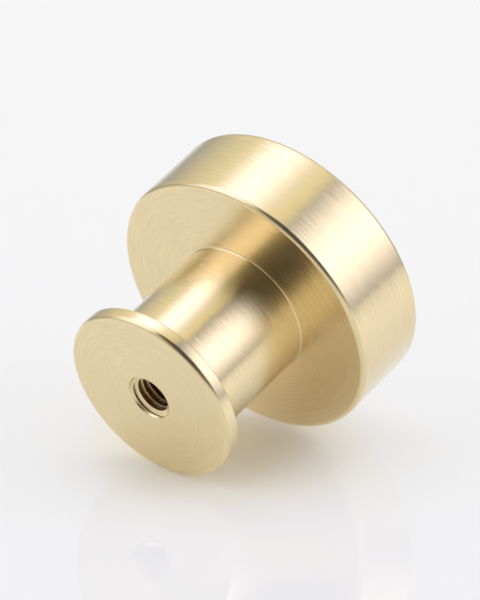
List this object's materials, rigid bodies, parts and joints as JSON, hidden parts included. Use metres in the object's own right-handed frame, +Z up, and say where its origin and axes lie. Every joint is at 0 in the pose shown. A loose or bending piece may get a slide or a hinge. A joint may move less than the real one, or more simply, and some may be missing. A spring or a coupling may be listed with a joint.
{
  "type": "cabinet knob",
  "caption": "Turned satin brass cabinet knob: thick disc head, plain stem and thin round base with a tapped blind hole for a screw through the door or drawer front.",
  "frame": {"origin": "centre of the base's face, where it seats on the door and the screw enters", "axes": "+Y along the turning axis, out of the tapped hole and into the door; -Y out into the room, towards the head; +Z up as fixed on an upright door"},
  "size_m": [0.032, 0.026, 0.032],
  "materials": {
    "satin_brass": "fine turned and brushed satin under clear lacquer"
  },
  "bodies": {
    "root": {"knob": "satin_brass"}
  },
  "joints": []
}
